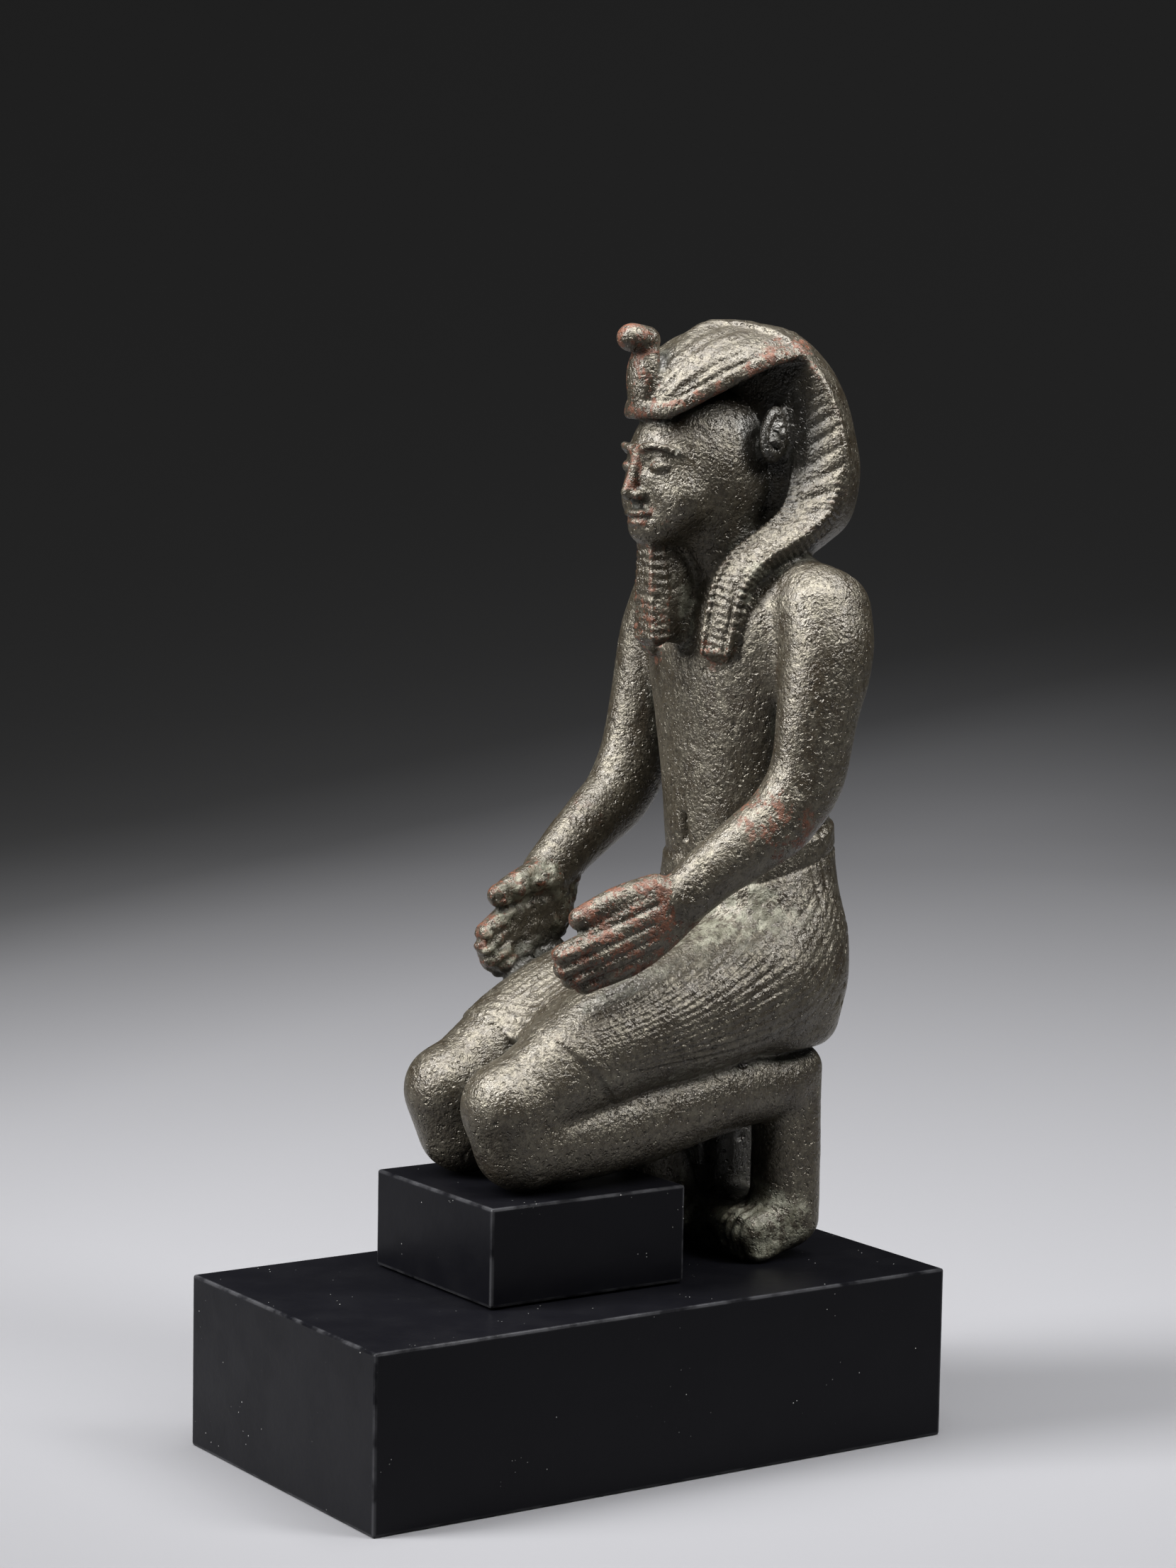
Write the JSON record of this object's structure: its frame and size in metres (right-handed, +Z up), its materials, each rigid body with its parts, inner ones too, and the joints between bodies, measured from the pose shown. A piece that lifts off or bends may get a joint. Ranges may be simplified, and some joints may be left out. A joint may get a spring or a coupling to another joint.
{
  "type": "kneeling statuette on stepped base",
  "caption": "Cast bronze figure of a kneeling king in a striped headcloth, hands held forward, on a small step block and a long black rectangular base.",
  "frame": {"origin": "centre of the long base's underside, on the surface it stands on", "axes": "+Z up, -Y is the way the figure faces and the base's length, +X the figure's left side"},
  "size_m": [0.0556, 0.1, 0.1683],
  "materials": {
    "bronze": "worn dark brown to olive cast bronze with reddish edges and grey-green deposits in the hollows",
    "black_lacquer_block": "satin black lacquer, edges lightly worn",
    "black_lacquer_base": "satin black lacquer, edges lightly worn"
  },
  "bodies": {
    "root": {"figure": "bronze", "step_block": "black_lacquer_block", "base_block": "black_lacquer_base"}
  },
  "joints": []
}
